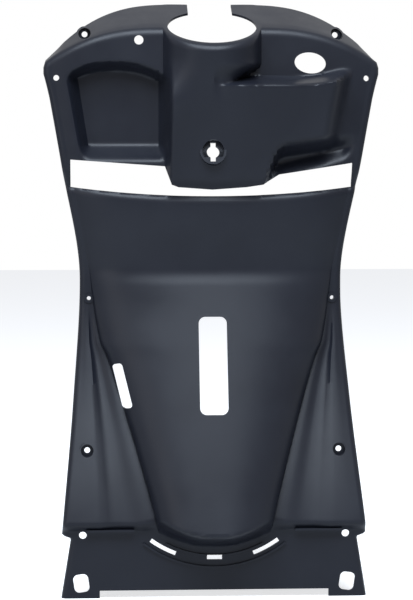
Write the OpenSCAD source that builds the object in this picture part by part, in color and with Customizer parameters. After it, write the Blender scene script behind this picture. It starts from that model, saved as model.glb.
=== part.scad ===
// Scooter front inner panel: one moulded shell, seen from the rider's side along +Y.
// X is the width, Y runs away from the rider, Z is up.
// The origin lies midway between the two lower screw holes, on the flange's face.

/* [Outline] */
// Width across the upper corners
shoulder_w = 405; // [396:1:414]
// Height of the widest place above the lower screws
shoulder_z = 560; // [545:1:575]
// Width at the long slot
slot_level_w = 363; // [356:1:370]
// Width at the waist, behind the knee panel
waist_w = 320; // [316:1:326]
// Height of the waist
waist_z = 300; // [280:1:315]
// Width across the wings at half height
thigh_w = 336; // [331:1:342]
// Width across the feet of the wings
foot_w = 364; // [358:1:370]
// Width of the lower flange at its top
flange_top_w = 341; // [337:1:346]
// Width of the lower flange at its bottom edge
flange_bottom_w = 366; // [360:1:372]
// Height of the flange below the lower screws
flange_drop = 76; // [70:1:84]
// Height that the flange's middle edge is trimmed above its corner tabs
tab_h = 9; // [4:1:14]

/* [Shell] */
// Thickness of the moulded wall
wall = 2.8; // [2.4:0.1:3.2]
// Radius of the roll along the outer edge
rim_r = 7; // [6:0.5:9]
// Depth of the return behind the side edges
rim_depth = 14; // [10:1:20]

/* [Deck] */
// Height of the column cover's lip above the lower screws
lip_z = 580; // [574:1:588]
// Slope of the deck, square to the steering axis
deck_slope = 23.5; // [20:0.5:28]
// Distance from the lip to the deck's far edge
deck_depth = 130; // [122:1:140]
// Fall of the deck from the middle to the corners
deck_fall = 44; // [38:1:50]
// Diameter of the steering column notch
notch_d = 107; // [98:1:110]
// Width of the way out between the deck's two arms
notch_gap = 54; // [44:1:64]
// Wall left in front of the notch
notch_lip = 11; // [9:1:14]

/* [Column cover and block] */
// Width of the column cover
cover_w = 110; // [106:1:114]
// Distance that the cover's lip stands in front of the shield
cover_lift = 50; // [44:1:56]
// Distance that the cover's foot stands in front of the shield
cover_foot_lift = 10; // [6:1:16]
// Height of the ledge at the block's top
ledge_z = 535; // [529:1:541]
// Height of the shoulder at the block's right foot
block_foot_z = 462; // [456:1:466]

/* [Pocket] */
// Extra depth of the left pocket behind the shield
pocket_depth = 26; // [18:1:32]
// Height of the pocket's arched top
pocket_top_z = 562; // [556:1:566]
// Height of the pocket's floor
pocket_floor_z = 446; // [444:1:452]
// Width of the strip between the pocket and the outer edge
pocket_margin = 24; // [20:1:28]

/* [Slot] */
// Height of the slot's lower edge in the middle
slot_z = 402; // [399:1:404]
// Rise of the slot's lower edge towards its ends
slot_rise = 11; // [8:1:14]
// Height of the cover's lower edge above the slot's lower edge
slot_gap = 8; // [6:1:12]
// Height of the slot at its left end
slot_left_h = 33; // [28:1:33]
// Height of the slot at its right end
slot_right_h = 29; // [24:1:32]
// Width of the strip that joins the halves at each end
slot_strip = 11; // [9:1:13]

/* [Knee and tunnel] */
// Distance of the shield's face behind the flange's face
shield_y = 50; // [42:1:58]
// Distance of the crease behind the flange's face
crease_y = 60; // [54:1:66]
// Height of the crease below the knee panel
crease_z = 308; // [300:1:314]
// Distance that the tunnel's foot stands in front of the flange
tunnel_front = 58; // [48:1:66]
// Width of the tunnel at its bend
bend_w = 272; // [264:1:280]
// Height of the bend in the tunnel's foot line
bend_z = 226; // [216:1:236]
// Width of the tunnel below the bend
calf_w = 234; // [226:1:242]
// Width of the tunnel at its lower end
tunnel_end_w = 148; // [138:1:156]
// Depth of the tunnel's lower end below the lower screws
tunnel_drop = 16; // [12:1:20]

/* [Wings] */
// Distance that the wings' feet stand in front of the flange
wing_front = 16; // [10:1:22]
// Distance of the wings' tops behind the flange's face
wing_back = 88; // [82:1:96]
// Depth of the creases in the wings
wing_crease = 3; // [1:0.5:5]

/* [Window and side slot] */
// Width of the window
window_w = 34; // [28:1:42]
// Height of the window
window_h = 114; // [100:1:124]
// Height of the window's middle
window_z = 200; // [192:1:208]
// Width of the slot in the tunnel's side
side_slot_w = 12; // [8:1:16]
// Length of the slot in the tunnel's side
side_slot_l = 54; // [44:1:62]

/* [Screws and lock] */
// Distance between the lower screw holes
lower_screw_pitch = 314; // [308:1:320]
// Diameter of the lower screw holes
lower_screw_d = 9; // [6:0.5:10]
// Distance between the deck's screws
deck_screw_pitch = 306; // [300:1:312]
// Height of the deck's screws
deck_screw_z = 598; // [594:1:602]
// Distance between the side screws
side_screw_pitch = 374; // [370:1:378]
// Height of the side screws
side_screw_z = 544; // [536:1:552]
// Distance between the wings' upper screws
wing_top_pitch = 298; // [295:1:301]
// Height of the wings' upper screws
wing_top_z = 277; // [270:1:284]
// Diameter of the holes for the wings' upper screws
wing_top_d = 5; // [4:0.5:6]
// Distance between the wings' lower screws
wing_screw_pitch = 303; // [296:1:308]
// Height of the wings' lower screws
wing_screw_z = 98; // [90:1:106]
// Diameter of the screws' clearance holes
screw_d = 7; // [5:0.5:8]
// Diameter of the recess for a screw's head
head_d = 15; // [13:0.5:17]
// Diameter of the hook screw's hole in the left pocket
hook_d = 11; // [8:0.5:13]
// Distance of the hook screw's hole from the middle
hook_x = 88; // [82:1:94]
// Height of the hook screw's hole
hook_z = 589; // [584:1:591]
// Height of the key hole
key_z = 456; // [450:1:462]
// Diameter of the key hole
key_d = 15; // [12:0.5:17]
// Diameter of the dish round the key hole
key_dish_d = 26; // [23:1:30]
// Width of the oval accessory hole
oval_w = 38; // [32:1:42]
// Height of the oval accessory hole
oval_h = 25; // [20:1:28]
// Distance of the oval hole from the middle
oval_x = 118; // [110:1:124]
// Height of the oval hole's middle
oval_z = 562; // [558:1:566]

/* [Lower details] */
// Radius of the arc of slots below the tunnel
arc_r = 129.5; // [126:0.5:133]
// Height of the arc's centre
arc_z = 98; // [94:1:102]
// Width of the arc's slots
arc_slot_w = 5; // [4:0.5:6]
// Thickness of the small ribs and ledges
rib_w = 2.4; // [2:0.1:3]
// Height of the arc's ribs in front of the flange
arc_rib_h = 3; // [2:0.5:4]

/* [Hidden] */
black = [0.09, 0.10, 0.12];
through = 400;

// Smooth step from 0 at a to 1 at b, and a plain mix of two values
function ramp(a, b, v) =
    let (t = max(0, min(1, (v - a) / (b - a))))
    t * t * (3 - 2 * t);
function mix(a, b, t) = a + (b - a) * t;

// Smooth curve through stations [z, value] that never overshoots them
function chord(s, k) = (s[k + 1][1] - s[k][1]) / (s[k + 1][0] - s[k][0]);
function tangent(s, k) =
    k == 0 ? chord(s, 0) :
    k == len(s) - 1 ? chord(s, k - 1) :
    let (a = chord(s, k - 1), b = chord(s, k))
    a * b > 0 ? 2 * a * b / (a + b) : 0;
function hermite(s, k, z) =
    let (h = s[k + 1][0] - s[k][0], t = (z - s[k][0]) / h)
    s[k][1] * (1 + 2 * t) * (1 - t) * (1 - t)
    + s[k + 1][1] * t * t * (3 - 2 * t)
    + h * (tangent(s, k) * t * (1 - t) * (1 - t) - tangent(s, k + 1) * t * t * (1 - t));
function curve(s, z) =
    z <= s[0][0] ? s[0][1] :
    z >= s[len(s) - 1][0] ? s[len(s) - 1][1] :
    hermite(s, len([for (p = s) if (p[0] < z) 1]) - 1, z);

// Half width of the outline
slot_level_z = 440;
thigh_z = 160;
shield_half = [
    [0, foot_w / 2], [thigh_z, thigh_w / 2], [waist_z, waist_w / 2],
    [slot_level_z, slot_level_w / 2], [shoulder_z, shoulder_w / 2]
];
flange_half = [[-flange_drop, flange_bottom_w / 2], [0, flange_top_w / 2]];
flange_step_z = -3;
function half_w(z) =
    mix(curve(flange_half, z), curve(shield_half, z), ramp(flange_step_z - 2, flange_step_z + 3, z));
function edge_x(z) = half_w(z) - rim_r;

// Half width of the tunnel at its foot, which meets the edge roll above the crease
tunnel_end_z = 32;
calf_z = 176;
tunnel_half = [
    [-tunnel_drop, tunnel_end_w / 2 - 12], [tunnel_end_z, tunnel_end_w / 2], [calf_z, calf_w / 2],
    [bend_z - 18, bend_w / 2 - 8], [bend_z, bend_w / 2], [crease_z, waist_w / 2 - 12],
    [crease_z + 40, waist_w / 2 - 9]
];
function foot_x(z) =
    let (body = curve(tunnel_half, z))
    mix(body, edge_x(z) - 2, ramp(crease_z, crease_z + 40, z));

// Depth of the middle line, of the wings and of the shield
tunnel_line = [
    [0, -tunnel_front], [crease_z - 14, crease_y - 6], [crease_z + 6, crease_y],
    [slot_z, shield_y], [lip_z, shield_y]
];
function shield_depth(z) = curve(tunnel_line, z);
wing_line = [[0, -wing_front], [crease_z, wing_back], [crease_z + 60, wing_back]];
function wing_depth(z) = curve(wing_line, z);

// Rounded back of the tunnel and of the knee panel, from 0 in the middle to 1 at the foot
function bulge(t, round) =
    let (a = min(1, abs(t)))
    mix(pow(a, 5), 1 - sqrt(max(0, 1 - pow(a, 2.4))), round);
knee_roll = 22;
shield_roll = 10;
function side_drop(z) =
    let (upper = mix(knee_roll, shield_roll, ramp(slot_z - 20, slot_z + 60, z)))
    mix(wing_depth(z) - shield_depth(z), upper, ramp(crease_z - 40, crease_z + 40, z));

// Creases that run down each wing, measured from the tunnel's foot to the edge
function wing_form(s, z) =
    let (low = ramp(crease_z - 30, crease_z - 110, z))
    wing_crease * low * (ramp(0.1, 0.34, s) - 1.6 * ramp(0.5, 0.62, s) + 0.6 * ramp(0.8, 1, s));

// Raised column cover with the block to its right: round below the notch, flat lower down
cover_x = cover_w / 2;
cover_roll = 7;
cover_r = cover_x + 4;
recess_sweep = 26;
function cover_lift_at(z) =
    mix(cover_foot_lift, cover_lift, max(0, min(1.05, (z - slot_z) / (lip_z - slot_z))));
function cover_side(x, z) =
    let (
        sweep = x > 0 ? recess_sweep * (1 - ramp(ledge_z + 2, ledge_z + 26, z)) : 0,
        at = min(cover_r, abs(x) + sweep),
        flat = 1 - ramp(cover_x - cover_roll, cover_x + 3, at),
        circle = max(0, (sqrt(cover_r * cover_r - at * at) - cover_r + cover_lift) / cover_lift)
    )
    mix(flat, circle, ramp(ledge_z - 25, lip_z - 12, z));
ledge_slope = 12;
shoulder_rise = 12;
block_left_x = 48;
function block_foot(x) =
    mix(slot_z - 6, block_foot_z, ramp(block_left_x, block_left_x + 38, x))
    + shoulder_rise * max(0, (x - 86) / 80);
function block_form(x, z) =
    let (outer = edge_x(z) - 6, top = ledge_z + 16 * ramp(112, outer + 8, x))
    ramp(0, 12, x) * (1 - ramp(outer - 42, outer - 17, x))
    * (1 - ramp(top - 2, top + ledge_slope, z))
    * ramp(block_foot(x) - 14, block_foot(x) + 6, z);
function raised(x, z) =
    let (
        cover = cover_side(x, z) * (x > 0 ? ramp(slot_z - 30, slot_z - 4, z) : 1),
        form = max(cover, block_form(x, z))
    )
    cover_lift_at(z) * form * ramp(slot_z - 2, slot_z + 4, z);

// Left pocket, its floor, and the hollow below the block's right foot
pocket_right_x = -cover_x - 2;
floor_run = 20;
function pocket_form(x, z) =
    let (
        left = -edge_x(z) + pocket_margin - 8,
        arch = pocket_top_z - 14 * pow(abs(x - (left + pocket_right_x) / 2) / 55, 2.4)
    )
    ramp(left, left + 16, x) * (1 - ramp(pocket_right_x - 8, pocket_right_x + 6, x))
    * ramp(pocket_floor_z - 4, pocket_floor_z + floor_run, z) * (1 - ramp(arch - 10, arch + 3, z));
function slot_edge(x) = slot_z + 14 + 0.26 * (x - cover_x);
function hollow_form(x, z) =
    ramp(block_left_x, block_left_x + 34, x) * (1 - ramp(edge_x(z) - 20, edge_x(z) - 2, x))
    * (1 - ramp(block_foot(x) - 16, block_foot(x) + 4, z))
    * ramp(slot_edge(x) - 2, slot_edge(x) + 20, z);
hollow_depth = 13;

// Knee panel's upper edge, which rolls back towards the slot
slot_half = slot_level_w / 2 - slot_strip;
function slot_low(x) = slot_z + slot_rise * pow(x / slot_half, 2);
knee_lip = 6;
function knee_lip_drop(x, z) =
    let (u = max(0, min(1, (z - slot_low(x) + 10) / 10)))
    knee_lip * (1 - sqrt(1 - u * u)) * (1 - ramp(slot_low(x) + 2, slot_low(x) + 22, z));

// Lower end: the tunnel and the wings roll back to the flange
tunnel_roll = 24;
wing_roll = 14;
function end_z(x) = mix(-tunnel_drop, 2, ramp(10, 88, abs(x)));
function end_roll(x) = mix(tunnel_roll, wing_roll, ramp(60, 90, abs(x)));

// Depth of the panel's face at any place
function face_y(x, z) =
    let (
        foot = foot_x(z),
        s = max(0, (abs(x) - foot) / max(4, edge_x(z) - foot)),
        round = 1 - ramp(crease_z - 60, crease_z + 30, z),
        body = shield_depth(z) + side_drop(z) * bulge(x / foot, round),
        shell = body + wing_form(s, z),
        upper = shell - raised(x, z) + pocket_depth * pocket_form(x, z)
            + hollow_depth * hollow_form(x, z) + knee_lip_drop(x, z)
    )
    upper * ramp(end_z(x), end_z(x) + end_roll(x), z);

// Columns of the face: stations across the width with a count of cells between each pair
span_cells = [2, 2, 2, 3, 2, 3];
function half_stations(z) =
    let (
        e = edge_x(z),
        foot = max(foot_x(z), 72),
        high = [e, e - 12, e - 26, 112, cover_x + 9, cover_x - 9, 0],
        low = [e, mix(foot, e, 0.45), foot, 0.93 * foot, 0.76 * foot, 0.45 * foot, 0],
        t = ramp(crease_z + 6, slot_z - 12, z)
    )
    mix(low, high, t);
function half_columns(z) =
    let (s = half_stations(z))
    [for (k = [0:5]) for (c = [0:span_cells[k] - 1]) mix(s[k], s[k + 1], c / span_cells[k])];
function columns(z) =
    let (h = half_columns(z), n = len(h))
    concat([for (k = [0:n - 1]) -h[k]], [0], [for (k = [n - 1:-1:0]) h[k]]);

// Rows of the face: fixed heights below, and heights that follow the lip above
row_base = ledge_z - 15;
function steps(a, b, n) = [for (k = [0:n - 1]) mix(a, b, k / n)];
fixed_rows = concat(
    steps(-flange_drop, -20, 2), steps(-20, 28, 7), steps(28, crease_z - 8, 9),
    steps(crease_z - 8, crease_z + 16, 3), steps(crease_z + 16, slot_z - 12, 3),
    steps(slot_z - 12, slot_z + 8, 4), steps(slot_z + 8, pocket_floor_z - 6, 3),
    steps(pocket_floor_z - 6, pocket_floor_z + 20, 4), steps(pocket_floor_z + 20, row_base, 3),
    [row_base]
);
lip_rows = 9;

// Top edge of the face, which lies in the deck's sloping surface
function fall(x) = deck_fall * pow(max(0, (abs(x) - 60) / (shoulder_w / 2 - 64)), 2.5);
function top_z(x) =
    let (y = face_y(x, lip_z - 2))
    lip_z - rim_r + max(0, y) * tan(deck_slope) - fall(x);

// Points of the face, row by row from the bottom
flat_rows = len(fixed_rows);
row_count = flat_rows + lip_rows;
function row_points(j) =
    let (
        base = fixed_rows[min(j, flat_rows - 1)],
        share = max(0, j - flat_rows + 1) / lip_rows,
        near = j < flat_rows ? base : mix(base, lip_z - 8, share)
    )
    [for (x = columns(near))
        let (z = j < flat_rows ? base : mix(row_base, top_z(x), share))
        [x, face_y(x, z), z]];
grid = [for (j = [0:row_count - 1]) row_points(j)];
col_count = len(grid[0]);
last_col = col_count - 1;
last_row = row_count - 1;

// Border of the face: up the left side, across the top, and down the right side
border = concat(
    [for (j = [0:last_row]) [0, j]],
    [for (i = [1:last_col]) [i, last_row]],
    [for (j = [last_row - 1:-1:0]) [last_col, j]]
);
border_count = len(border);

// Directions in which the rim leaves the face: outwards, and backwards along deck or side
function corner_share(i) = ramp(0, 2, min(i, last_col - i));
function rim_out(i, j) =
    let (up = j == last_row ? mix(0.5, 1, corner_share(i)) : 0, side = i < last_col / 2 ? -1 : 1)
    j == last_row ? [side * (1 - up), 0, up] / norm([1 - up, up]) : [side, 0, 0];
function rim_back(i, j) =
    let (slope = j == last_row ? deck_slope * mix(0.3, 1, corner_share(i)) : 0)
    [0, cos(slope), sin(slope)];
function rim_length(i, j) =
    let (
        p = grid[j][i],
        far = shield_y + rim_depth + (deck_depth - shield_y - rim_depth)
            * (1 - pow(min(1, abs(p[0]) / (shoulder_w / 2)), 3)),
        deck = max(rim_depth, (far - p[1]) / cos(deck_slope) - rim_r)
    )
    j == last_row ? mix(rim_depth * 1.5, deck, corner_share(i)) :
    mix(3, rim_depth, ramp(-16, 10, p[2]));
rim_steps = 3;
function rim_point(b, d) =
    let (
        i = border[b][0], j = border[b][1], p = grid[j][i],
        out = rim_out(i, j), back = rim_back(i, j), run = rim_length(i, j)
    )
    d == 0 ? p :
    d == 1 ? p + rim_r * (0.707 * out + 0.293 * back) :
    d == 2 ? p + rim_r * (out + back) :
    p + rim_r * (out + back) + run * back;
rim = [for (b = [0:border_count - 1]) [for (d = [0:rim_steps]) rim_point(b, d)]];

// Neighbours of a face point, which are rim points past the border
function left_border(j) = j;
function top_border(i) = last_row + i;
function right_border(j) = last_row + last_col + (last_row - j);
function face_point(i, j) =
    i < 0 ? rim[left_border(j)][1] :
    i > last_col ? rim[right_border(j)][1] :
    j > last_row ? rim[top_border(i)][1] :
    grid[max(0, j)][i];
function unit(v) = v / norm(v);
function face_normal(i, j) =
    let (
        up = face_point(i, j + 1) - face_point(i, j - 1),
        across = face_point(i + 1, j) - face_point(i - 1, j)
    )
    unit(cross(up, across));
function rim_normal(b, d) =
    let (
        along = rim[min(b + 1, border_count - 1)][d] - rim[max(b - 1, 0)][d],
        across = rim[b][min(d + 1, rim_steps)] - rim[b][d - 1]
    )
    unit(cross(across, along));

// Front skin, back skin and their shared numbering
face_total = row_count * col_count;
skin_total = face_total + border_count * rim_steps;
function face_index(i, j) = j * col_count + i;
function rim_index(b, d) =
    d == 0 ? face_index(border[b][0], border[b][1]) : face_total + b * rim_steps + d - 1;
front_points = concat(
    [for (j = [0:last_row]) for (i = [0:last_col]) grid[j][i]],
    [for (b = [0:border_count - 1]) for (d = [1:rim_steps]) rim[b][d]]
);
back_points = concat(
    [for (j = [0:last_row]) for (i = [0:last_col]) grid[j][i] + wall * face_normal(i, j)],
    [for (b = [0:border_count - 1]) for (d = [1:rim_steps]) rim[b][d] + wall * rim_normal(b, d)]
);
face_cells = [for (j = [0:last_row - 1]) for (i = [0:last_col - 1])
    [face_index(i, j), face_index(i + 1, j), face_index(i + 1, j + 1), face_index(i, j + 1)]];
rim_cells = [for (b = [0:border_count - 2]) for (d = [0:rim_steps - 1])
    [rim_index(b, d), rim_index(b + 1, d), rim_index(b + 1, d + 1), rim_index(b, d + 1)]];
front_cells = concat(face_cells, rim_cells);

// Free edge of the skins: along the bottom and round the end of the rim
free_edge = concat(
    [for (d = [rim_steps:-1:1]) rim_index(0, d)],
    [for (i = [0:last_col]) face_index(i, 0)],
    [for (d = [1:rim_steps]) rim_index(border_count - 1, d)],
    [for (b = [border_count - 2:-1:1]) rim_index(b, rim_steps)]
);
function split(q) = [[q[0], q[1], q[2]], [q[0], q[2], q[3]]];
function flip(t) = [t[0], t[2], t[1]];
front_faces = [for (q = front_cells) for (t = split(q)) t];
back_faces = [for (t = front_faces) flip(t) + [skin_total, skin_total, skin_total]];
edge_faces = [for (k = [0:len(free_edge) - 1])
    let (a = free_edge[k], b = free_edge[(k + 1) % len(free_edge)])
    for (t = split([a, a + skin_total, b + skin_total, b])) t];

module moulded_skin() {
    polyhedron(
        points = concat(front_points, back_points),
        faces = concat([for (t = front_faces) flip(t)], [for (t = back_faces) flip(t)],
            [for (t = edge_faces) flip(t)])
    );
}

// Extrudes a shape drawn in X and Z along Y, from the near depth to the far depth
module along_y(near, far) {
    translate([0, far, 0])
    rotate([90, 0, 0])
    linear_extrude(far - near)
    children();
}

// Rounded outline, drawn around its middle
module rounded_shape(width, height, r) {
    hull()
    for (sx = [-1, 1])
    for (sz = [-1, 1])
    translate([sx * (width / 2 - r), sz * (height / 2 - r)])
    circle(r = r, $fn = 20);
}

// Band of an arc around a centre at the height mid_z, between two angles
module arc_band(r, width, from, to, mid_z) {
    turns = [for (k = [0:8]) mix(from, to, k / 8)];
    outer = [for (a = turns) (r + width / 2) * [cos(a), sin(a)]];
    inner = [for (k = [8:-1:0]) (r - width / 2) * [cos(turns[k]), sin(turns[k])]];
    translate([0, mid_z])
    polygon(concat(outer, inner));
}

// Round rod along Y at one place, used for holes and bosses alike
module rod_y(x, z, d, near, far) {
    translate([x, far, z])
    rotate([90, 0, 0])
    cylinder(d = d, h = far - near, $fn = 20);
}
module rod_pair(pitch, z, d, near, far) {
    for (side = [-1, 1])
    rod_y(side * pitch / 2, z, d, near, far);
}

// Long slot between the upper half and the knee panel, which runs under the cover's rounded foot
cover_corner = 14;
block_reach = 26;
module long_slot() {
    cover_low = slot_z + slot_gap;
    left_top = slot_low(slot_half) + slot_left_h;
    right_top = slot_low(slot_half) + slot_right_h;
    lower = [for (k = [-8:8]) [slot_half * k / 8, slot_low(slot_half * k / 8)]];
    foot = [
        [cover_x + 6, cover_low + 6], [cover_x - cover_corner, cover_low + 3], [0, cover_low],
        [cover_corner - cover_x, cover_low + 3], [-cover_x + 6, cover_low + 6]
    ];
    upper = concat(
        [[slot_half, right_top], [cover_x + block_reach, cover_low + 18]], foot,
        [[-cover_x - 2, left_top - 8], [-slot_half, left_top]]
    );
    along_y(0, shield_y + 60)
    polygon(concat(lower, upper));
}

// Notch that clears the steering column, cut square to the deck
notch_below = rim_r + 5;
module column_notch() {
    translate([0, 0, lip_z])
    rotate([deck_slope, 0, 0])
    translate([0, notch_lip + notch_d / 2, -notch_below])
    linear_extrude(80) {
        circle(d = notch_d, $fn = 64);
        translate([-notch_gap / 2, 0])
        square([notch_gap, through]);
    }
}

// Window in the tunnel, and the slanted slot in its left side
module tunnel_window() {
    along_y(-through / 2, through / 2)
    translate([0, window_z])
    rounded_shape(window_w, window_h, 8);
}
side_slot_in = 27;
module side_slot() {
    along_y(-through / 2, through / 2)
    translate([side_slot_in - bend_w / 2, calf_z - 2])
    rotate(14)
    rounded_shape(side_slot_w, side_slot_l, 4);
}

// Lock: a boss and a dish square to the cover's face, with a hole and a slot for the key
cover_tilt = atan((cover_lift - cover_foot_lift) / (lip_z - slot_z));
key_y = shield_y - cover_lift_at(key_z);
dish_h = 3;
module at_lock() {
    translate([0, key_y, key_z])
    rotate([90 - cover_tilt, 0, 0])
    children();
}
module lock_boss() {
    at_lock()
    translate([0, 0, -dish_h - wall - 2])
    cylinder(d = key_dish_d + 2 * wall, h = dish_h + wall + 0.8, $fn = 36);
}
module lock_hole() {
    at_lock() {
        translate([0, 0, -dish_h])
        cylinder(d = key_dish_d, h = 20, $fn = 36);
        translate([0, 0, -20])
        linear_extrude(40) {
            circle(d = key_d, $fn = 32);
            square([key_d * 0.42, key_d * 1.55], center = true);
        }
    }
}

// Oval hole for an accessory in the right recess
module oval_hole() {
    oval = [for (k = [0:29]) [oval_w / 2 * cos(k * 12), oval_h / 2 * sin(k * 12)]];
    along_y(0, through / 2)
    translate([oval_x, oval_z])
    rotate(-6)
    polygon(oval);
}

// Slanted windows in the corner tabs, and the flange's trimmed edge between the tabs
tab_window_w = 18;
tab_window_h = 22;
tab_w = 46;
module tab_windows() {
    for (side = [-1, 1])
    along_y(-20, 20)
    translate([side * (flange_bottom_w / 2 - 24), 18 - flange_drop])
    rotate(side * -8)
    rounded_shape(tab_window_w, tab_window_h, 6);
}
module flange_trim() {
    translate([tab_w - flange_bottom_w / 2, -20, -flange_drop - 1])
    cube([flange_bottom_w - 2 * tab_w, 40, tab_h + 1]);
}

// Screw recesses: a cup behind the face for a screw's head, cut off along the sloping face
cup_wall = 2.4;
cup_h = 9;
module screw_cup(x, z, y, lean, roll, deep) {
    difference() {
        rod_y(x, z, head_d + 2 * cup_wall, y - 16, y + deep);
        translate([x, y + wall / 2, z])
        rotate([-lean, roll, 0])
        translate([-40, -40, -40])
        cube([80, 40, 80]);
    }
}
module screw_recess(x, z, y, deep) {
    rod_y(x, z, head_d, y - 60, y + deep - cup_wall);
    rod_y(x, z, screw_d, y, y + deep + 5);
}

// Wings' lower screws
wing_lean = atan((wing_back + wing_front) / crease_z);
wing_screw_y = face_y(wing_screw_pitch / 2, wing_screw_z);
module wing_cups() {
    for (side = [-1, 1])
    screw_cup(side * wing_screw_pitch / 2, wing_screw_z, wing_screw_y, wing_lean, 0, cup_h);
}
module wing_recesses() {
    for (side = [-1, 1])
    screw_recess(side * wing_screw_pitch / 2, wing_screw_z, wing_screw_y, cup_h);
}

// Deck's screws, in cups that open forwards through the sloping deck
deck_screw_x = deck_screw_pitch / 2;
deck_screw_y = (deck_screw_z - lip_z + fall(deck_screw_x)) / tan(deck_slope);
deck_cup_h = 24;
module deck_cups() {
    for (side = [-1, 1])
    screw_cup(side * deck_screw_x, deck_screw_z, deck_screw_y, 90 - deck_slope, side * 20,
        deck_cup_h);
}
module deck_recesses() {
    for (side = [-1, 1])
    screw_recess(side * deck_screw_x, deck_screw_z, deck_screw_y, deck_cup_h);
}

// Rings round the wings' upper screws
wing_top_y = face_y(wing_top_pitch / 2, wing_top_z);
module wing_top_rings() {
    rod_pair(wing_top_pitch, wing_top_z, wing_top_d + 7, wing_top_y - 1.5, wing_top_y + 8);
}

// Seats behind the side screws
side_screw_y = face_y(side_screw_pitch / 2, side_screw_z);
module side_seats() {
    rod_pair(side_screw_pitch, side_screw_z, screw_d + 6, side_screw_y + 1, side_screw_y + 9);
}

// Arc of slots below the tunnel, with a rib on each side, and a square hole in the middle
arc_from = 234;
arc_to = 249;
module arc_slots() {
    along_y(-20, 20) {
        arc_band(arc_r, arc_slot_w, arc_from, arc_to, arc_z);
        arc_band(arc_r, arc_slot_w, 540 - arc_to, 540 - arc_from, arc_z);
        translate([0, arc_z - arc_r + 4])
        square([18, 6], center = true);
    }
}
module arc_ribs() {
    along_y(-arc_rib_h, wall / 2) {
        arc_band(arc_r + 8, rib_w, arc_from - 2, 542 - arc_from, arc_z);
        arc_band(arc_r - 6, rib_w, arc_from + 8, 532 - arc_from, arc_z);
    }
}

// Ledges at the feet of the wings, which carry the floor panel's edge
ledge_x = 124;
ledge_w = 56;
ledge_h = 9;
module foot_ledges() {
    for (side = [-1, 1])
    translate([side * ledge_x - ledge_w / 2, -ledge_h, 5])
    cube([ledge_w, ledge_h + wall / 2, rib_w]);
}

module front_inner_panel() {
    color(black)
    difference() {
        union() {
            moulded_skin();
            lock_boss();
            wing_cups();
            deck_cups();
            wing_top_rings();
            side_seats();
            arc_ribs();
            foot_ledges();
        }
        long_slot();
        column_notch();
        tunnel_window();
        side_slot();
        lock_hole();
        oval_hole();
        tab_windows();
        flange_trim();
        wing_recesses();
        deck_recesses();
        arc_slots();
        rod_pair(lower_screw_pitch, 0, lower_screw_d, -20, 20);
        rod_pair(side_screw_pitch, side_screw_z, screw_d, 20, side_screw_y + 14);
        rod_pair(wing_top_pitch, wing_top_z, wing_top_d, 40, wing_back + 30);
        rod_y(-hook_x, hook_z, hook_d, 20, shield_y + rim_r + 4);
    }
}

front_inner_panel();
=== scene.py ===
"""Looks of the scooter front inner panel: one black moulded shell on a pale floor.

The shell is a skin of fine columns and rows laid over the same rules that shape the solid part.
Lengths are in millimetres until a mesh is made, and +Y runs away from the rider.
"""

import math

import bpy
import bmesh
import numpy as np
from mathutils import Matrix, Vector


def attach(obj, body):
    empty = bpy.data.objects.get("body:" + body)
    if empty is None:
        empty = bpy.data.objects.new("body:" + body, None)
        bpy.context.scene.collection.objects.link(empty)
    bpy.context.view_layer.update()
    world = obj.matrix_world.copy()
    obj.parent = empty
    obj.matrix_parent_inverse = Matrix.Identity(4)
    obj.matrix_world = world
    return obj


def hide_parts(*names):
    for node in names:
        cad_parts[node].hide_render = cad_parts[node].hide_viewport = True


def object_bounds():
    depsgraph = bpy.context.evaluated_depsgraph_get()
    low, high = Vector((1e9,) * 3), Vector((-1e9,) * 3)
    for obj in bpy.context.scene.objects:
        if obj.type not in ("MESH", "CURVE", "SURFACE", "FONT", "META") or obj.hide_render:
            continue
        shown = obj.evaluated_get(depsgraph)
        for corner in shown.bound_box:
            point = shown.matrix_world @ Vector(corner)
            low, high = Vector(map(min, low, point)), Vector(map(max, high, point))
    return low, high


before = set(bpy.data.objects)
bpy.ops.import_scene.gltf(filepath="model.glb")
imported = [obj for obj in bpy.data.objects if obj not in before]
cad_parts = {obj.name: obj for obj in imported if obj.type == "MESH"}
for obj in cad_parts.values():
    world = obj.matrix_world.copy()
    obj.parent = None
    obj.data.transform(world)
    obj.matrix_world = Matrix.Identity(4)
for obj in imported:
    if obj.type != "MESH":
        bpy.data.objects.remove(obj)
CAD_BOX = [list(corner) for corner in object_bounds()]

NODE = "front_inner_panel"
MM = 0.001

# Outline
SHOULDER_W, SHOULDER_Z = 405, 560
SLOT_LEVEL_W, SLOT_LEVEL_Z = 363, 440
WAIST_W, WAIST_Z = 320, 300
THIGH_W, THIGH_Z = 336, 160
FOOT_W = 364
FLANGE_TOP_W, FLANGE_BOTTOM_W = 341, 366
FLANGE_DROP = 76
FLANGE_STEP_Z = -3
TAB_H, TAB_W = 9, 46
TAB_WINDOW_W, TAB_WINDOW_H = 18, 22

# Shell
WALL = 2.8
RIM_R = 7
RIM_DEPTH = 14

# Deck and notch
LIP_Z = 580
DECK_SLOPE = math.radians(23.5)
DECK_DEPTH = 130
DECK_FALL = 44
NOTCH_D, NOTCH_GAP, NOTCH_LIP = 107, 54, 11

# Column cover, block and pocket
COVER_W = 110
COVER_X = COVER_W / 2
COVER_LIFT, COVER_FOOT_LIFT = 50, 10
COVER_ROLL, COVER_R = 7, COVER_X + 4
RECESS_SWEEP = 26
LEDGE_Z, LEDGE_SLOPE = 535, 12
BLOCK_FOOT_Z, BLOCK_LEFT_X, SHOULDER_RISE = 462, 48, 12
POCKET_DEPTH, POCKET_TOP_Z, POCKET_FLOOR_Z = 26, 562, 446
POCKET_MARGIN, FLOOR_RUN = 24, 20
POCKET_RIGHT_X = -COVER_X - 2
HOLLOW_DEPTH = 13

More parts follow.
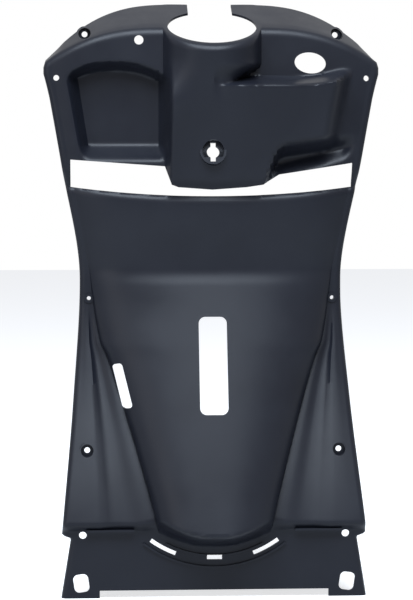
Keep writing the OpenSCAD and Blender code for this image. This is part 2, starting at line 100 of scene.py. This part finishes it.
# Long slot
SLOT_Z, SLOT_RISE, SLOT_GAP = 402, 11, 8
SLOT_LEFT_H, SLOT_RIGHT_H, SLOT_STRIP = 33, 29, 11
SLOT_HALF = SLOT_LEVEL_W / 2 - SLOT_STRIP
COVER_CORNER, BLOCK_REACH = 14, 26

# Knee, tunnel and wings
SHIELD_Y, CREASE_Y, CREASE_Z = 50, 60, 308
TUNNEL_FRONT, TUNNEL_DROP = 58, 16
BEND_W, BEND_Z = 272, 226
CALF_W, CALF_Z = 234, 176
TUNNEL_END_W, TUNNEL_END_Z = 148, 32
KNEE_ROLL, SHIELD_ROLL, KNEE_LIP = 22, 10, 6
WING_FRONT, WING_BACK, WING_CREASE = 16, 88, 3
TUNNEL_ROLL, WING_ROLL = 24, 14
TUNNEL_END_SPAN, ROLL_SPAN = (10, 88), (60, 90)

# Openings and screws
WINDOW_W, WINDOW_H, WINDOW_Z = 34, 114, 200
SIDE_SLOT_W, SIDE_SLOT_L = 12, 54
LOWER_SCREW_PITCH, LOWER_SCREW_D = 314, 9
SIDE_SCREW_PITCH, SIDE_SCREW_Z = 374, 544
WING_TOP_PITCH, WING_TOP_Z, WING_TOP_D = 298, 277, 5
WING_SCREW_PITCH, WING_SCREW_Z = 303, 98
DECK_SCREW_PITCH, DECK_SCREW_Z = 306, 598
SCREW_D, HEAD_D = 7, 15
DECK_SIDE_SLOPE = math.radians(20)
CUP_WALL, CUP_H, DECK_CUP_H = 2.4, 9, 24
HOOK_X, HOOK_Z, HOOK_D = -88, 589, 11
KEY_Z, KEY_D, KEY_DISH_D, DISH_H = 456, 15, 26, 3
OVAL_X, OVAL_Z, OVAL_W, OVAL_H = 118, 562, 38, 25

# Arc of slots below the tunnel, in degrees round its centre, where the mirrored angle is MIRROR - a
ARC_R, ARC_Z, ARC_SLOT_W, ARC_RIB_H = 129.5, 98, 5, 3
ARC_FROM, ARC_TO, MIRROR = 234, 249, 540
RIB_W = 2.4

# Ledges at the feet of the wings
FOOT_LEDGE_X, FOOT_LEDGE_Z, FOOT_LEDGE_W, FOOT_LEDGE_H = 124, 5, 56, 9


def ramp(a, b, v):
    t = np.clip((v - a) / (b - a), 0, 1)
    return t * t * (3 - 2 * t)


def mix(a, b, t):
    return a + (b - a) * t


def curve(stations, z):
    """Smooth curve through stations (z, value) that never overshoots them."""
    zs = np.array([s[0] for s in stations], float)
    vs = np.array([s[1] for s in stations], float)
    chords = np.diff(vs) / np.diff(zs)
    slopes = np.concatenate([chords[:1], np.zeros(len(zs) - 2), chords[-1:]])
    for k in range(1, len(zs) - 1):
        a, b = chords[k - 1], chords[k]
        slopes[k] = 2 * a * b / (a + b) if a * b > 0 else 0
    z = np.clip(z, zs[0], zs[-1])
    k = np.clip(np.searchsorted(zs, z) - 1, 0, len(zs) - 2)
    h = zs[k + 1] - zs[k]
    t = (z - zs[k]) / h
    return (
        vs[k] * (1 + 2 * t) * (1 - t) ** 2
        + vs[k + 1] * t * t * (3 - 2 * t)
        + h * (slopes[k] * t * (1 - t) ** 2 - slopes[k + 1] * t * t * (1 - t))
    )


SHIELD_HALF = [
    (0, FOOT_W / 2),
    (THIGH_Z, THIGH_W / 2),
    (WAIST_Z, WAIST_W / 2),
    (SLOT_LEVEL_Z, SLOT_LEVEL_W / 2),
    (SHOULDER_Z, SHOULDER_W / 2),
]
FLANGE_HALF = [(-FLANGE_DROP, FLANGE_BOTTOM_W / 2), (0, FLANGE_TOP_W / 2)]
TUNNEL_HALF = [
    (-TUNNEL_DROP, TUNNEL_END_W / 2 - 12),
    (TUNNEL_END_Z, TUNNEL_END_W / 2),
    (CALF_Z, CALF_W / 2),
    (BEND_Z - 18, BEND_W / 2 - 8),
    (BEND_Z, BEND_W / 2),
    (CREASE_Z, WAIST_W / 2 - 12),
    (CREASE_Z + 40, WAIST_W / 2 - 9),
]
TUNNEL_LINE = [
    (0, -TUNNEL_FRONT),
    (CREASE_Z - 14, CREASE_Y - 6),
    (CREASE_Z + 6, CREASE_Y),
    (SLOT_Z, SHIELD_Y),
    (LIP_Z, SHIELD_Y),
]
WING_LINE = [(0, -WING_FRONT), (CREASE_Z, WING_BACK), (CREASE_Z + 60, WING_BACK)]


def half_w(z):
    step = ramp(FLANGE_STEP_Z - 2, FLANGE_STEP_Z + 3, z)
    return mix(curve(FLANGE_HALF, z), curve(SHIELD_HALF, z), step)


def edge_x(z):
    return half_w(z) - RIM_R


def foot_x(z):
    """Half width of the tunnel, which meets the edge roll above the crease."""
    return mix(curve(TUNNEL_HALF, z), edge_x(z) - 2, ramp(CREASE_Z, CREASE_Z + 40, z))


def bulge(t, round_share):
    """Round back of tunnel and knee panel, from 0 in the middle to 1 at the foot."""
    a = np.minimum(1, np.abs(t))
    return mix(a**5, 1 - np.sqrt(np.maximum(0, 1 - a**2.4)), round_share)


def wing_form(s, z):
    low = ramp(CREASE_Z - 30, CREASE_Z - 110, z)
    return WING_CREASE * low * (ramp(0.1, 0.34, s) - 1.6 * ramp(0.5, 0.62, s) + 0.6 * ramp(0.8, 1, s))


def cover_lift(z):
    return mix(COVER_FOOT_LIFT, COVER_LIFT, np.clip((z - SLOT_Z) / (LIP_Z - SLOT_Z), 0, 1.05))


def cover_side(x, z):
    """Share of the cover's height: flat lower down, round below the notch."""
    sweep = np.where(x > 0, RECESS_SWEEP * (1 - ramp(LEDGE_Z + 2, LEDGE_Z + 26, z)), 0)
    at = np.minimum(COVER_R, np.abs(x) + sweep)
    flat = 1 - ramp(COVER_X - COVER_ROLL, COVER_X + 3, at)
    circle = np.maximum(0, (np.sqrt(COVER_R**2 - at**2) - COVER_R + COVER_LIFT) / COVER_LIFT)
    return mix(flat, circle, ramp(LEDGE_Z - 25, LIP_Z - 12, z))


def block_foot(x):
    rise = mix(SLOT_Z - 6, BLOCK_FOOT_Z, ramp(BLOCK_LEFT_X, BLOCK_LEFT_X + 38, x))
    return rise + SHOULDER_RISE * np.maximum(0, (x - 86) / 80)


def block_form(x, z):
    outer = edge_x(z) - 6
    top = LEDGE_Z + 16 * ramp(112, outer + 8, x)
    return (
        ramp(0, 12, x)
        * (1 - ramp(outer - 42, outer - 17, x))
        * (1 - ramp(top - 2, top + LEDGE_SLOPE, z))
        * ramp(block_foot(x) - 14, block_foot(x) + 6, z)
    )


def raised(x, z):
    """Column cover with the block to its right."""
    cover = cover_side(x, z) * np.where(x > 0, ramp(SLOT_Z - 30, SLOT_Z - 4, z), 1)
    form = np.maximum(cover, block_form(x, z))
    return cover_lift(z) * form * ramp(SLOT_Z - 2, SLOT_Z + 4, z)


def pocket_form(x, z):
    left = -edge_x(z) + POCKET_MARGIN - 8
    arch = POCKET_TOP_Z - 14 * (np.abs(x - (left + POCKET_RIGHT_X) / 2) / 55) ** 2.4
    return (
        ramp(left, left + 16, x)
        * (1 - ramp(POCKET_RIGHT_X - 8, POCKET_RIGHT_X + 6, x))
        * ramp(POCKET_FLOOR_Z - 4, POCKET_FLOOR_Z + FLOOR_RUN, z)
        * (1 - ramp(arch - 10, arch + 3, z))
    )


def hollow_form(x, z):
    low = SLOT_Z + 14 + 0.26 * (x - COVER_X)
    return (
        ramp(BLOCK_LEFT_X, BLOCK_LEFT_X + 34, x)
        * (1 - ramp(edge_x(z) - 20, edge_x(z) - 2, x))
        * (1 - ramp(block_foot(x) - 16, block_foot(x) + 4, z))
        * ramp(low - 2, low + 20, z)
    )


def slot_low(x):
    return SLOT_Z + SLOT_RISE * (x / SLOT_HALF) ** 2


def knee_lip_drop(x, z):
    """Upper edge of the knee panel, which rolls back towards the slot."""
    low = slot_low(x)
    u = np.clip((z - low + 10) / 10, 0, 1)
    return KNEE_LIP * (1 - np.sqrt(1 - u * u)) * (1 - ramp(low + 2, low + 22, z))


def face_y(x, z):
    """Depth of the panel's face at any place."""
    foot = foot_x(z)
    s = np.maximum(0, (np.abs(x) - foot) / np.maximum(4, edge_x(z) - foot))
    round_share = 1 - ramp(CREASE_Z - 60, CREASE_Z + 30, z)
    shield = curve(TUNNEL_LINE, z)
    upper_roll = mix(KNEE_ROLL, SHIELD_ROLL, ramp(SLOT_Z - 20, SLOT_Z + 60, z))
    drop = mix(curve(WING_LINE, z) - shield, upper_roll, ramp(CREASE_Z - 40, CREASE_Z + 40, z))
    body = shield + drop * bulge(x / foot, round_share)
    upper = (
        body
        + wing_form(s, z)
        - raised(x, z)
        + POCKET_DEPTH * pocket_form(x, z)
        + HOLLOW_DEPTH * hollow_form(x, z)
        + knee_lip_drop(x, z)
    )
    end_z = mix(-TUNNEL_DROP, 2, ramp(*TUNNEL_END_SPAN, np.abs(x)))
    end_roll = mix(TUNNEL_ROLL, WING_ROLL, ramp(*ROLL_SPAN, np.abs(x)))
    return upper * ramp(end_z, end_z + end_roll, z)


# Cells of the grid between neighbouring stations, from the edge to the middle
SPAN_CELLS = [6, 8, 11, 12, 11, 13]
RIM_ROLL_STEPS = 4
RIM_RUN_STEPS = 5
ROW_PITCH = 2.4
ROW_BASE = 520
LIP_ROWS = 36


def half_stations(z):
    e = edge_x(z)
    foot = max(foot_x(z), 72)
    high = np.array([e, e - 12, e - 26, 112, COVER_X + 9, COVER_X - 9, 0])
    low = np.array([e, mix(foot, e, 0.45), foot, 0.93 * foot, 0.76 * foot, 0.45 * foot, 0])
    return mix(low, high, ramp(CREASE_Z + 6, SLOT_Z - 12, z))


def columns(z):
    stations = half_stations(z)
    half = []
    for k, cells in enumerate(SPAN_CELLS):
        half += [mix(stations[k], stations[k + 1], c / cells) for c in range(cells)]
    return np.array([-v for v in half] + [0] + half[::-1])


def fall(x):
    return DECK_FALL * np.maximum(0, (np.abs(x) - 60) / (SHOULDER_W / 2 - 64)) ** 2.5


def top_z(x):
    lift = np.maximum(0, face_y(x, LIP_Z - 2)) * math.tan(DECK_SLOPE)
    return LIP_Z - RIM_R + lift - fall(x)


def face_grid():
    """Points of the face, row by row from the bottom."""
    fixed = np.arange(-FLANGE_DROP, ROW_BASE, ROW_PITCH)
    rows = []
    for z in fixed:
        x = columns(z)
        rows.append(np.stack([x, face_y(x, np.full_like(x, z)), np.full_like(x, z)], axis=1))
    for k in range(LIP_ROWS + 1):
        share = k / LIP_ROWS
        x = columns(mix(ROW_BASE, LIP_Z - 8, share))
        z = mix(ROW_BASE, top_z(x), share)
        rows.append(np.stack([x, face_y(x, z), z], axis=1))
    return np.array(rows)


def rim_strip(grid):
    """Border of the face with the roll and the return behind it: (border, rim) index and points."""
    rows, cols = grid.shape[:2]
    border = (
        [(j, 0) for j in range(rows)]
        + [(rows - 1, i) for i in range(1, cols)]
        + [(j, cols - 1) for j in range(rows - 2, -1, -1)]
    )
    points = []
    for j, i in border:
        p = grid[j, i]
        top = j == rows - 1
        share = float(ramp(0, 9, min(i, cols - 1 - i)))
        side = -1 if i < cols / 2 else 1
        up = mix(0.5, 1, share) if top else 0
        out = np.array([side * (1 - up), 0, up])
        out = out / np.linalg.norm(out)
        slope = DECK_SLOPE * mix(0.3, 1, share) if top else 0
        back = np.array([0, math.cos(slope), math.sin(slope)])
        if top:
            reach = min(1, abs(p[0]) / (SHOULDER_W / 2)) ** 3
            far = SHIELD_Y + RIM_DEPTH + (DECK_DEPTH - SHIELD_Y - RIM_DEPTH) * (1 - reach)
            deck = max(RIM_DEPTH, (far - p[1]) / math.cos(DECK_SLOPE) - RIM_R)
            run = mix(RIM_DEPTH * 1.5, deck, share)
        else:
            run = mix(3, RIM_DEPTH, float(ramp(-16, 10, p[2])))
        line = []
        for k in range(1, RIM_ROLL_STEPS + 1):
            a = math.pi / 2 * k / RIM_ROLL_STEPS
            line.append(p + RIM_R * (math.sin(a) * out + (1 - math.cos(a)) * back))
        for k in range(1, RIM_RUN_STEPS + 1):
            line.append(line[RIM_ROLL_STEPS - 1] + run * k / RIM_RUN_STEPS * back)
        points.append(line)
    return border, np.array(points)


def skin_mesh():
    """Closed shell: front skin, back skin one wall behind it, and the free edge between them."""
    grid = face_grid()
    border, rim = rim_strip(grid)
    rows, cols = grid.shape[:2]
    steps = rim.shape[1]
    front = np.concatenate([grid.reshape(-1, 3), rim.reshape(-1, 3)])
    base = rows * cols

    def rim_index(b, d):
        return border[b][0] * cols + border[b][1] if d == 0 else base + b * steps + d - 1

    quads = [
        (j * cols + i, j * cols + i + 1, (j + 1) * cols + i + 1, (j + 1) * cols + i)
        for j in range(rows - 1)
        for i in range(cols - 1)
    ]
    quads += [
        (rim_index(b, d), rim_index(b + 1, d), rim_index(b + 1, d + 1), rim_index(b, d + 1))
        for b in range(len(border) - 1)
        for d in range(steps)
    ]
    quads = np.array(quads)
    normals = np.zeros_like(front)
    p = front[quads]
    cell = np.cross(p[:, 2] - p[:, 0], p[:, 3] - p[:, 1])
    cell /= np.maximum(np.linalg.norm(cell, axis=1, keepdims=True), 1e-9)
    for k in range(4):
        np.add.at(normals, quads[:, k], cell)
    normals /= np.linalg.norm(normals, axis=1, keepdims=True)
    back = front - WALL * normals
    count = len(front)
    edge = [rim_index(0, d) for d in range(steps, 0, -1)]
    edge += list(range(cols))
    edge += [rim_index(len(border) - 1, d) for d in range(1, steps + 1)]
    edge += [rim_index(b, steps) for b in range(len(border) - 2, 0, -1)]
    sides = [(a, a + count, b + count, b) for a, b in zip(edge, edge[1:] + edge[:1])]
    faces = [tuple(q) for q in quads.tolist()]
    faces += [tuple(v + count for v in q[::-1]) for q in quads.tolist()]
    faces += sides
    mesh = bpy.data.meshes.new("front_panel")
    mesh.from_pydata((np.concatenate([front, back]) * MM).tolist(), [], faces)
    mesh.validate()
    repair = bmesh.new()
    repair.from_mesh(mesh)
    bmesh.ops.recalc_face_normals(repair, faces=repair.faces)
    repair.to_mesh(mesh)
    repair.free()
    return mesh


def slot_outline():
    cover_low = SLOT_Z + SLOT_GAP
    left_top = slot_low(SLOT_HALF) + SLOT_LEFT_H
    right_top = slot_low(SLOT_HALF) + SLOT_RIGHT_H
    lower = [(x, slot_low(x)) for x in np.linspace(-SLOT_HALF, SLOT_HALF, 41)]
    upper = [
        (SLOT_HALF, right_top),
        (COVER_X + BLOCK_REACH, cover_low + 18),
        (COVER_X + 6, cover_low + 6),
        (COVER_X - COVER_CORNER, cover_low + 3),
        (0, cover_low),
        (COVER_CORNER - COVER_X, cover_low + 3),
        (6 - COVER_X, cover_low + 6),
        (-COVER_X - 2, left_top - 8),
        (-SLOT_HALF, left_top),
    ]
    return lower + upper


def circle_outline(x, z, d, sides=48):
    angles = [2 * math.pi * k / sides for k in range(sides)]
    return [(x + d / 2 * math.cos(a), z + d / 2 * math.sin(a)) for a in angles]


def ellipse_outline(x, z, width, height, turn):
    c, s = math.cos(math.radians(turn)), math.sin(math.radians(turn))
    points = []
    for a in np.linspace(0, 2 * math.pi, 65)[:-1]:
        u, v = width / 2 * math.cos(a), height / 2 * math.sin(a)
        points.append((x + u * c - v * s, z + u * s + v * c))
    return points


def rounded_outline(x, z, width, height, r, turn=0):
    """Rounded rectangle around (x, z), turned by so many degrees."""
    c, s = math.cos(math.radians(turn)), math.sin(math.radians(turn))
    points = []
    for sx, sz, start in ((1, 1, 0), (-1, 1, 90), (-1, -1, 180), (1, -1, 270)):
        for k in range(9):
            a = math.radians(start + 90 * k / 8)
            u = sx * (width / 2 - r) + r * math.cos(a)
            v = sz * (height / 2 - r) + r * math.sin(a)
            points.append((x + u * c - v * s, z + u * s + v * c))
    return points


def key_outline():
    """Round hole crossed by the slot for the key's blade, around its own middle."""
    half, reach = KEY_D * 0.21, KEY_D * 0.775
    start = math.asin(half / (KEY_D / 2))
    points = []
    for quarter, sign in ((0, 1), (math.pi, -1)):
        for k in range(17):
            a = quarter - math.pi / 2 + start + (math.pi - 2 * start) * k / 16
            points.append((KEY_D / 2 * math.cos(a), KEY_D / 2 * math.sin(a)))
        points.append((sign * half, sign * reach))
        points.append((-sign * half, sign * reach))
    return points


def arc_outline(r, width, start, end):
    """Band of an arc around the arc's centre, between two angles in degrees."""
    turns = np.radians(np.linspace(start, end, 25))
    outer = [((r + width / 2) * math.cos(a), ARC_Z + (r + width / 2) * math.sin(a)) for a in turns]
    inner = [
        ((r - width / 2) * math.cos(a), ARC_Z + (r - width / 2) * math.sin(a)) for a in turns[::-1]
    ]
    return outer + inner


def box_outline(x0, z0, x1, z1):
    return [(x0, z0), (x1, z0), (x1, z1), (x0, z1)]


def walls(n):
    """Faces of a prism whose n near vertices come before its n far ones."""
    faces = [tuple(range(n - 1, -1, -1)), tuple(range(n, 2 * n))]
    return faces + [(k, (k + 1) % n, n + (k + 1) % n, n + k) for k in range(n)]


def prism(outline, near, far):
    """Outline in X and Z, pulled along Y; the near depth may be a function of the place."""
    depth = near if callable(near) else lambda x, z: near
    verts = [(x, depth(x, z), z) for x, z in outline] + [(x, far, z) for x, z in outline]
    return verts, walls(len(outline))


def rod(x, z, d, near, far):
    return prism(circle_outline(x, z, d), near, far)


COVER_TILT = math.atan((COVER_LIFT - COVER_FOOT_LIFT) / (LIP_Z - SLOT_Z))
KEY_Y = SHIELD_Y - float(cover_lift(KEY_Z))


def lock_prism(outline, low, high):
    """Outline pulled square to the cover's face, around the lock's middle."""
    c, s = math.cos(COVER_TILT), math.sin(COVER_TILT)
    verts = [
        (u, KEY_Y + v * s - w * c, KEY_Z + v * c + w * s) for w in (low, high) for u, v in outline
    ]
    return verts, walls(len(outline))


def notch_prism():
    """Round notch with its way out, cut square to the deck."""
    middle = NOTCH_LIP + NOTCH_D / 2
    half = NOTCH_GAP / 2
    start = math.acos(half / (NOTCH_D / 2))
    arc = [math.pi - start + (math.pi + 2 * start) * k / 80 for k in range(81)]
    flat = [(NOTCH_D / 2 * math.cos(a), middle + NOTCH_D / 2 * math.sin(a)) for a in arc]
    flat += [(half, middle + 150), (-half, middle + 150)]
    c, s = math.cos(DECK_SLOPE), math.sin(DECK_SLOPE)
    verts = []
    for h in (-RIM_R - 5, 70):
        verts += [(x, d * c - h * s, LIP_Z + d * s + h * c) for x, d in flat]
    return verts, walls(len(flat))


def at(pitch, z):
    """Depth of the face at the screws of one pair."""
    return float(face_y(np.array(pitch / 2), np.array(float(z))))


WING_SCREW_Y = at(WING_SCREW_PITCH, WING_SCREW_Z)
WING_TOP_Y = at(WING_TOP_PITCH, WING_TOP_Z)
SIDE_SCREW_Y = at(SIDE_SCREW_PITCH, SIDE_SCREW_Z)
DECK_SCREW_Y = (DECK_SCREW_Z - LIP_Z + float(fall(DECK_SCREW_PITCH / 2))) / math.tan(DECK_SLOPE)


def wing_plane(x, z):
    lean = (WING_BACK + WING_FRONT) / CREASE_Z
    return WING_SCREW_Y + WALL / 2 + (z - WING_SCREW_Z) * lean


def deck_plane(x, z):
    """Middle of the deck's wall near its screws, which falls away towards the sides."""
    rise = z - DECK_SCREW_Z + math.tan(DECK_SIDE_SLOPE) * (abs(x) - DECK_SCREW_PITCH / 2)
    return DECK_SCREW_Y + WALL / 2 + rise / math.tan(DECK_SLOPE)


def bosses():
    """Cups, rings, seats and ribs that grow from the shell, none of which touches another."""
    added = [lock_prism(circle_outline(0, 0, KEY_DISH_D + 2 * WALL, 64), -DISH_H - WALL - 2, 0.8)]
    cup_d = HEAD_D + 2 * CUP_WALL
    for sign in (-1, 1):
        x = sign * WING_SCREW_PITCH / 2
        added.append(rod(x, WING_SCREW_Z, cup_d, wing_plane, WING_SCREW_Y + CUP_H))
        x = sign * DECK_SCREW_PITCH / 2
        added.append(rod(x, DECK_SCREW_Z, cup_d, deck_plane, DECK_SCREW_Y + DECK_CUP_H))
        x = sign * WING_TOP_PITCH / 2
        added.append(rod(x, WING_TOP_Z, WING_TOP_D + 7, WING_TOP_Y - 1.5, WING_TOP_Y + 8))
        x = sign * SIDE_SCREW_PITCH / 2
        added.append(rod(x, SIDE_SCREW_Z, SCREW_D + 6, SIDE_SCREW_Y + 1, SIDE_SCREW_Y + 9))
        x = sign * FOOT_LEDGE_X
        low, high = FOOT_LEDGE_Z, FOOT_LEDGE_Z + RIB_W
        ledge = box_outline(x - FOOT_LEDGE_W / 2, low, x + FOOT_LEDGE_W / 2, high)
        added.append(prism(ledge, -FOOT_LEDGE_H, WALL / 2))
    for r, start in ((ARC_R + 8, ARC_FROM - 2), (ARC_R - 6, ARC_FROM + 8)):
        added.append(prism(arc_outline(r, RIB_W, start, MIRROR - start), -ARC_RIB_H, WALL / 2))
    return added


def recesses():
    """Dish round the key hole and recesses for the screws' heads."""
    cuts = [lock_prism(circle_outline(0, 0, KEY_DISH_D, 64), -DISH_H, 20)]
    for sign in (-1, 1):
        x = sign * WING_SCREW_PITCH / 2
        cuts.append(rod(x, WING_SCREW_Z, HEAD_D, -60, WING_SCREW_Y + CUP_H - CUP_WALL))
        x = sign * DECK_SCREW_PITCH / 2
        cuts.append(rod(x, DECK_SCREW_Z, HEAD_D, 20, DECK_SCREW_Y + DECK_CUP_H - CUP_WALL))
    return cuts


def cutters():
    """Every opening of the shell as a prism, none of which touches another."""
    cuts = [prism(slot_outline(), 0, SHIELD_Y + 60), notch_prism()]
    cuts.append(prism(rounded_outline(0, WINDOW_Z, WINDOW_W, WINDOW_H, 8), -100, 100))
    side = rounded_outline(-BEND_W / 2 + 27, CALF_Z - 2, SIDE_SLOT_W, SIDE_SLOT_L, 4, 14)
    cuts.append(prism(side, -100, 100))
    cuts.append(lock_prism(key_outline(), -20, 20))
    cuts.append(prism(ellipse_outline(OVAL_X, OVAL_Z, OVAL_W, OVAL_H, -6), 0, 100))
    cuts.append(prism(box_outline(-9, ARC_Z - ARC_R + 1, 9, ARC_Z - ARC_R + 7), -20, 20))
    for sign in (-1, 1):
        x, z = sign * (FLANGE_BOTTOM_W / 2 - 24), 18 - FLANGE_DROP
        tab = rounded_outline(x, z, TAB_WINDOW_W, TAB_WINDOW_H, 6, sign * -8)
        cuts.append(prism(tab, -20, 20))
        for pitch, z, d in (
            (LOWER_SCREW_PITCH, 0, LOWER_SCREW_D),
            (SIDE_SCREW_PITCH, SIDE_SCREW_Z, SCREW_D),
            (WING_TOP_PITCH, WING_TOP_Z, WING_TOP_D),
            (WING_SCREW_PITCH, WING_SCREW_Z, SCREW_D),
            (DECK_SCREW_PITCH, DECK_SCREW_Z, SCREW_D),
        ):
            cuts.append(rod(sign * pitch / 2, z, d, -60, 120))
        start, end = (ARC_FROM, ARC_TO) if sign < 0 else (MIRROR - ARC_TO, MIRROR - ARC_FROM)
        cuts.append(prism(arc_outline(ARC_R, ARC_SLOT_W, start, end), -20, 20))
    cuts.append(rod(HOOK_X, HOOK_Z, HOOK_D, 20, SHIELD_Y + RIM_R + 4))
    trim = FLANGE_BOTTOM_W / 2 - TAB_W
    low, high = -FLANGE_DROP - 9, TAB_H - FLANGE_DROP
    cuts.append(prism(box_outline(-trim, low, trim, high), -20, 20))
    return cuts


def join_prisms(prisms, name):
    verts, faces = [], []
    for v, f in prisms:
        base = len(verts)
        verts += v
        faces += [tuple(k + base for k in face) for face in f]
    mesh = bpy.data.meshes.new(name)
    mesh.from_pydata((np.array(verts) * MM).tolist(), [], faces)
    repair = bmesh.new()
    repair.from_mesh(mesh)
    bmesh.ops.recalc_face_normals(repair, faces=repair.faces)
    repair.to_mesh(mesh)
    repair.free()
    return mesh


def carve(mesh, name):
    """Mesh with the recesses and then the openings cut out of it."""
    body = bpy.data.objects.new(name, mesh)
    bpy.context.scene.collection.objects.link(body)
    for prisms in (recesses(), cutters()):
        tool = bpy.data.objects.new("tool", join_prisms(prisms, "tool"))
        bpy.context.scene.collection.objects.link(tool)
        step = body.modifiers.new("cut", "BOOLEAN")
        step.operation = "DIFFERENCE"
        step.solver = "MANIFOLD"
        step.object = tool
        bpy.context.view_layer.update()
        result = body.evaluated_get(bpy.context.evaluated_depsgraph_get())
        mesh = bpy.data.meshes.new_from_object(result)
        body.modifiers.clear()
        body.data = mesh
        bpy.data.objects.remove(tool)
    bpy.data.objects.remove(body)
    return mesh


def make_panel():
    both = bmesh.new()
    both.from_mesh(carve(skin_mesh(), "skin"))
    both.from_mesh(carve(join_prisms(bosses(), "bosses"), "bosses"))
    mesh = bpy.data.meshes.new("front_panel")
    both.to_mesh(mesh)
    both.free()
    panel = bpy.data.objects.new("front_panel", mesh)
    bpy.context.scene.collection.objects.link(panel)
    mesh.polygons.foreach_set("use_smooth", [True] * len(mesh.polygons))
    mesh.set_sharp_from_angle(angle=math.radians(38))
    return panel


def plastic():
    """Black moulded plastic: uneven tone and gloss, and a fine grain."""
    material = bpy.data.materials.new("black_plastic")
    material.use_nodes = True
    tree = material.node_tree
    nodes, links = tree.nodes, tree.links
    shader = nodes["Principled BSDF"]
    shader.inputs["Specular IOR Level"].default_value = 0.16
    where = nodes.new("ShaderNodeTexCoord")

    def noise(scale, detail, rough=0.5):
        n = nodes.new("ShaderNodeTexNoise")
        n.inputs["Scale"].default_value = scale
        n.inputs["Detail"].default_value = detail
        n.inputs["Roughness"].default_value = rough
        links.new(where.outputs["Object"], n.inputs["Vector"])
        return n.outputs["Fac"]

    def ramp_node(source, low, high, low_color, high_color):
        n = nodes.new("ShaderNodeValToRGB")
        n.color_ramp.elements[0].position = low
        n.color_ramp.elements[0].color = low_color
        n.color_ramp.elements[1].position = high
        n.color_ramp.elements[1].color = high_color
        links.new(source, n.inputs["Fac"])
        return n.outputs["Color"]

    tone = ramp_node(
        noise(9, 4), 0.35, 0.7, (0.0055, 0.0062, 0.0095, 1), (0.0085, 0.0095, 0.0135, 1)
    )
    links.new(tone, shader.inputs["Base Color"])
    gloss = ramp_node(noise(26, 6, 0.6), 0.3, 0.75, (0.33, 0.33, 0.33, 1), (0.45, 0.45, 0.45, 1))
    links.new(gloss, shader.inputs["Roughness"])
    grain = nodes.new("ShaderNodeBump")
    grain.inputs["Strength"].default_value = 0.12
    grain.inputs["Distance"].default_value = 0.0002
    links.new(noise(1400, 2), grain.inputs["Height"])
    links.new(grain.outputs["Normal"], shader.inputs["Normal"])
    return material


# Width of the floor in metres, and the share of white that it shows the camera by itself
FLOOR_SIZE = 14
FLOOR_LIFT = 0.62


def make_stage():
    floor_z = CAD_BOX[0][2]
    bpy.ops.mesh.primitive_plane_add(size=FLOOR_SIZE, location=(0, 0, floor_z))
    floor = bpy.context.object
    floor.name = "floor"
    material = bpy.data.materials.new("pale_floor")
    material.use_nodes = True
    nodes, links = material.node_tree.nodes, material.node_tree.links
    shader = nodes["Principled BSDF"]
    shader.inputs["Base Color"].default_value = (0.8, 0.8, 0.8, 1)
    shader.inputs["Roughness"].default_value = 0.9
    shader.inputs["Specular IOR Level"].default_value = 0
    path = nodes.new("ShaderNodeLightPath")
    lift = nodes.new("ShaderNodeMath")
    lift.operation = "MULTIPLY"
    lift.inputs[1].default_value = FLOOR_LIFT
    links.new(path.outputs["Is Camera Ray"], lift.inputs[0])
    shader.inputs["Emission Color"].default_value = (1, 1, 1, 1)
    links.new(lift.outputs[0], shader.inputs["Emission Strength"])
    floor.data.materials.append(material)

    world = bpy.data.worlds.new("studio")
    bpy.context.scene.world = world
    world.use_nodes = True
    nodes, links = world.node_tree.nodes, world.node_tree.links
    nodes.clear()
    out = nodes.new("ShaderNodeOutputWorld")
    dim = nodes.new("ShaderNodeBackground")
    dim.inputs["Color"].default_value = (0.86, 0.9, 1, 1)
    dim.inputs["Strength"].default_value = 0.3
    white = nodes.new("ShaderNodeBackground")
    white.inputs["Color"].default_value = (1, 1, 1, 1)
    path = nodes.new("ShaderNodeLightPath")
    either = nodes.new("ShaderNodeMath")
    either.operation = "MAXIMUM"
    links.new(path.outputs["Is Camera Ray"], either.inputs[0])
    links.new(path.outputs["Is Glossy Ray"], either.inputs[1])
    every = nodes.new("ShaderNodeMath")
    every.operation = "MAXIMUM"
    links.new(either.outputs[0], every.inputs[0])
    links.new(path.outputs["Is Transmission Ray"], every.inputs[1])
    blend = nodes.new("ShaderNodeMixShader")
    links.new(every.outputs[0], blend.inputs["Fac"])
    links.new(dim.outputs[0], blend.inputs[1])
    links.new(white.outputs[0], blend.inputs[2])
    links.new(blend.outputs[0], out.inputs["Surface"])


def make_light(name, place, target, size, power, color):
    data = bpy.data.lights.new(name, "AREA")
    data.shape = "RECTANGLE"
    data.size, data.size_y = size
    data.energy = power
    data.color = color
    light = bpy.data.objects.new(name, data)
    bpy.context.scene.collection.objects.link(light)
    light.location = place
    aim = Vector(target) - Vector(place)
    light.rotation_euler = aim.to_track_quat("-Z", "Y").to_euler()


def make_camera():
    """Camera at the photograph's angle: level, a little to the viewer's left."""
    data = bpy.data.cameras.new("camera")
    camera = bpy.data.objects.new("camera", data)
    bpy.context.scene.collection.objects.link(camera)
    bpy.context.scene.camera = camera
    distance, height, azimuth = 2.6, 0.46, math.radians(-3)
    target = Vector((-0.0075, 0.04, 0.2775))
    frame_height = 0.722
    camera.location = target + Vector(
        (math.sin(azimuth) * distance, -math.cos(azimuth) * distance, 0)
    )
    camera.location.z = height
    aim = target - camera.location
    camera.rotation_euler = aim.to_track_quat("-Z", "Y").to_euler()
    data.sensor_width = 36
    data.lens = data.sensor_width * aim.length / frame_height
    data.clip_end = 50


bpy.context.scene.view_settings.view_transform = "Standard"
make_camera()
panel = make_panel()
panel.data.materials.clear()
panel.data.materials.append(plastic())
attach(panel, "root")
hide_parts(NODE)

make_stage()
make_light("overhead", (-0.2, -1.3, 2.3), (0, 0, 0.2), (2.2, 1.4), 170, (0.78, 0.88, 1))
make_light("fill", (-1.8, -1.6, 0.8), (0, 0, 0.3), (1.0, 1.6), 10, (1, 1, 1))
